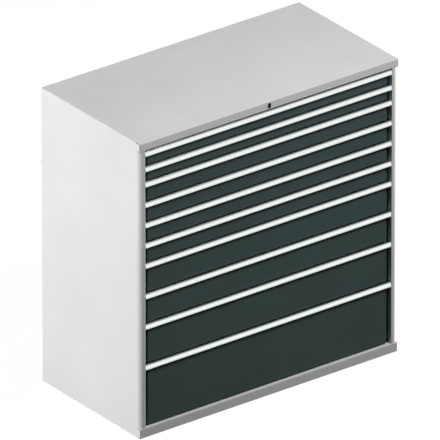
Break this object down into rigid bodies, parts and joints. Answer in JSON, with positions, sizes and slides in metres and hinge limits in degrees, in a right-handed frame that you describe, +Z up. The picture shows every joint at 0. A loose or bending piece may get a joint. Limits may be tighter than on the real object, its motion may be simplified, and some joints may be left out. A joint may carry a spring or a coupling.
{
  "type": "drawer cabinet",
  "caption": "Tall, wide sheet-steel drawer cabinet with full-extension drawers in graded heights, full-width handle strips with label channels and a central lock.",
  "frame": {"origin": "on the floor, under the centre of the cabinet's bounding box", "axes": "+Z up, +X to the right as seen from the front, +Y to the back; the drawers open towards -Y"},
  "size_m": [1.431, 0.725, 1.45],
  "materials": {
    "housing_paint": "light grey powder coat, fine orange peel, satin",
    "drawer_paint": "anthracite powder coat, fine orange peel, satin",
    "handle_aluminium": "extruded, natural anodised",
    "label_white": "smooth white strip",
    "zinc_steel": "bright zinc plated",
    "lock_black": "smooth black",
    "lock_steel": "nickel plated"
  },
  "bodies": {
    "housing": {"left_side_wall": "housing_paint", "right_side_wall": "housing_paint", "top_panel": "housing_paint", "base_panel": "housing_paint", "back_panel": "housing_paint", "cabinet_rails": "zinc_steel", "lock_barrel": "lock_black"},
    "drawer_01": {"drawer_01_tray": "drawer_paint", "drawer_01_front": "drawer_paint", "drawer_01_handle": "handle_aluminium", "drawer_01_label": "label_white"},
    "middle_rails_01": {"drawer_01_middle_rails": "zinc_steel"},
    "drawer_02": {"drawer_02_tray": "drawer_paint", "drawer_02_front": "drawer_paint", "drawer_02_handle": "handle_aluminium", "drawer_02_label": "label_white"},
    "middle_rails_02": {"drawer_02_middle_rails": "zinc_steel"},
    "drawer_03": {"drawer_03_tray": "drawer_paint", "drawer_03_front": "drawer_paint", "drawer_03_handle": "handle_aluminium", "drawer_03_label": "label_white"},
    "middle_rails_03": {"drawer_03_middle_rails": "zinc_steel"},
    "drawer_04": {"drawer_04_tray": "drawer_paint", "drawer_04_front": "drawer_paint", "drawer_04_handle": "handle_aluminium", "drawer_04_label": "label_white"},
    "middle_rails_04": {"drawer_04_middle_rails": "zinc_steel"},
    "drawer_05": {"drawer_05_tray": "drawer_paint", "drawer_05_front": "drawer_paint", "drawer_05_handle": "handle_aluminium", "drawer_05_label": "label_white"},
    "middle_rails_05": {"drawer_05_middle_rails": "zinc_steel"},
    "drawer_06": {"drawer_06_tray": "drawer_paint", "drawer_06_front": "drawer_paint", "drawer_06_handle": "handle_aluminium", "drawer_06_label": "label_white"},
    "middle_rails_06": {"drawer_06_middle_rails": "zinc_steel"},
    "drawer_07": {"drawer_07_tray": "drawer_paint", "drawer_07_front": "drawer_paint", "drawer_07_handle": "handle_aluminium", "drawer_07_label": "label_white"},
    "middle_rails_07": {"drawer_07_middle_rails": "zinc_steel"},
    "drawer_08": {"drawer_08_tray": "drawer_paint", "drawer_08_front": "drawer_paint", "drawer_08_handle": "handle_aluminium", "drawer_08_label": "label_white"},
    "middle_rails_08": {"drawer_08_middle_rails": "zinc_steel"},
    "drawer_09": {"drawer_09_tray": "drawer_paint", "drawer_09_front": "drawer_paint", "drawer_09_handle": "handle_aluminium", "drawer_09_label": "label_white"},
    "middle_rails_09": {"drawer_09_middle_rails": "zinc_steel"},
    "drawer_10": {"drawer_10_tray": "drawer_paint", "drawer_10_front": "drawer_paint", "drawer_10_handle": "handle_aluminium", "drawer_10_label": "label_white"},
    "middle_rails_10": {"drawer_10_middle_rails": "zinc_steel"},
    "lock_core": {"lock_core": "lock_steel"},
    "lock_slide": {"lock_slide": "zinc_steel"},
    "lock_bar": {"lock_bar": "zinc_steel"}
  },
  "joints": [
    {"name": "drawer_01_slide", "type": "slide", "parent": "housing", "child": "drawer_01", "axis": [0, -1, 0], "range_m": [0, 0.644]},
    {"name": "middle_rails_01_slide", "type": "slide", "parent": "housing", "child": "middle_rails_01", "axis": [0, -1, 0], "range_m": [0, 0.3221]},
    {"name": "drawer_02_slide", "type": "slide", "parent": "housing", "child": "drawer_02", "axis": [0, -1, 0], "range_m": [0, 0.644]},
    {"name": "middle_rails_02_slide", "type": "slide", "parent": "housing", "child": "middle_rails_02", "axis": [0, -1, 0], "range_m": [0, 0.3221]},
    {"name": "drawer_03_slide", "type": "slide", "parent": "housing", "child": "drawer_03", "axis": [0, -1, 0], "range_m": [0, 0.644]},
    {"name": "middle_rails_03_slide", "type": "slide", "parent": "housing", "child": "middle_rails_03", "axis": [0, -1, 0], "range_m": [0, 0.3221]},
    {"name": "drawer_04_slide", "type": "slide", "parent": "housing", "child": "drawer_04", "axis": [0, -1, 0], "range_m": [0, 0.644]},
    {"name": "middle_rails_04_slide", "type": "slide", "parent": "housing", "child": "middle_rails_04", "axis": [0, -1, 0], "range_m": [0, 0.3221]},
    {"name": "drawer_05_slide", "type": "slide", "parent": "housing", "child": "drawer_05", "axis": [0, -1, 0], "range_m": [0, 0.644]},
    {"name": "middle_rails_05_slide", "type": "slide", "parent": "housing", "child": "middle_rails_05", "axis": [0, -1, 0], "range_m": [0, 0.3221]},
    {"name": "drawer_06_slide", "type": "slide", "parent": "housing", "child": "drawer_06", "axis": [0, -1, 0], "range_m": [0, 0.644]},
    {"name": "middle_rails_06_slide", "type": "slide", "parent": "housing", "child": "middle_rails_06", "axis": [0, -1, 0], "range_m": [0, 0.3221]},
    {"name": "drawer_07_slide", "type": "slide", "parent": "housing", "child": "drawer_07", "axis": [0, -1, 0], "range_m": [0, 0.644]},
    {"name": "middle_rails_07_slide", "type": "slide", "parent": "housing", "child": "middle_rails_07", "axis": [0, -1, 0], "range_m": [0, 0.3221]},
    {"name": "drawer_08_slide", "type": "slide", "parent": "housing", "child": "drawer_08", "axis": [0, -1, 0], "range_m": [0, 0.644]},
    {"name": "middle_rails_08_slide", "type": "slide", "parent": "housing", "child": "middle_rails_08", "axis": [0, -1, 0], "range_m": [0, 0.3221]},
    {"name": "drawer_09_slide", "type": "slide", "parent": "housing", "child": "drawer_09", "axis": [0, -1, 0], "range_m": [0, 0.644]},
    {"name": "middle_rails_09_slide", "type": "slide", "parent": "housing", "child": "middle_rails_09", "axis": [0, -1, 0], "range_m": [0, 0.3221]},
    {"name": "drawer_10_slide", "type": "slide", "parent": "housing", "child": "drawer_10", "axis": [0, -1, 0], "range_m": [0, 0.644]},
    {"name": "middle_rails_10_slide", "type": "slide", "parent": "housing", "child": "middle_rails_10", "axis": [0, -1, 0], "range_m": [0, 0.3221]},
    {"name": "lock_turn", "type": "hinge", "parent": "housing", "child": "lock_core", "pos_m": [0, -0.35, 1.431], "axis": [0, 1, 0], "range_deg": [0, 90.1]},
    {"name": "lock_slide_travel", "type": "slide", "parent": "housing", "child": "lock_slide", "axis": [1, 0, 0], "range_m": [0, 0.01273]},
    {"name": "lock_bar_lift", "type": "slide", "parent": "housing", "child": "lock_bar", "axis": [0, 0, 1], "range_m": [0, 0.0103]}
  ],
  "couplings": [
    {"joint": "middle_rails_01_slide", "follows": "drawer_01_slide", "ratio": 0.5},
    {"joint": "middle_rails_02_slide", "follows": "drawer_02_slide", "ratio": 0.5},
    {"joint": "middle_rails_03_slide", "follows": "drawer_03_slide", "ratio": 0.5},
    {"joint": "middle_rails_04_slide", "follows": "drawer_04_slide", "ratio": 0.5},
    {"joint": "middle_rails_05_slide", "follows": "drawer_05_slide", "ratio": 0.5},
    {"joint": "middle_rails_06_slide", "follows": "drawer_06_slide", "ratio": 0.5},
    {"joint": "middle_rails_07_slide", "follows": "drawer_07_slide", "ratio": 0.5},
    {"joint": "middle_rails_08_slide", "follows": "drawer_08_slide", "ratio": 0.5},
    {"joint": "middle_rails_09_slide", "follows": "drawer_09_slide", "ratio": 0.5},
    {"joint": "middle_rails_10_slide", "follows": "drawer_10_slide", "ratio": 0.5},
    {"joint": "lock_turn", "follows": "lock_slide_travel", "rad_per_m": 123.41},
    {"joint": "lock_bar_lift", "follows": "lock_slide_travel", "ratio": 0.80139}
  ]
}
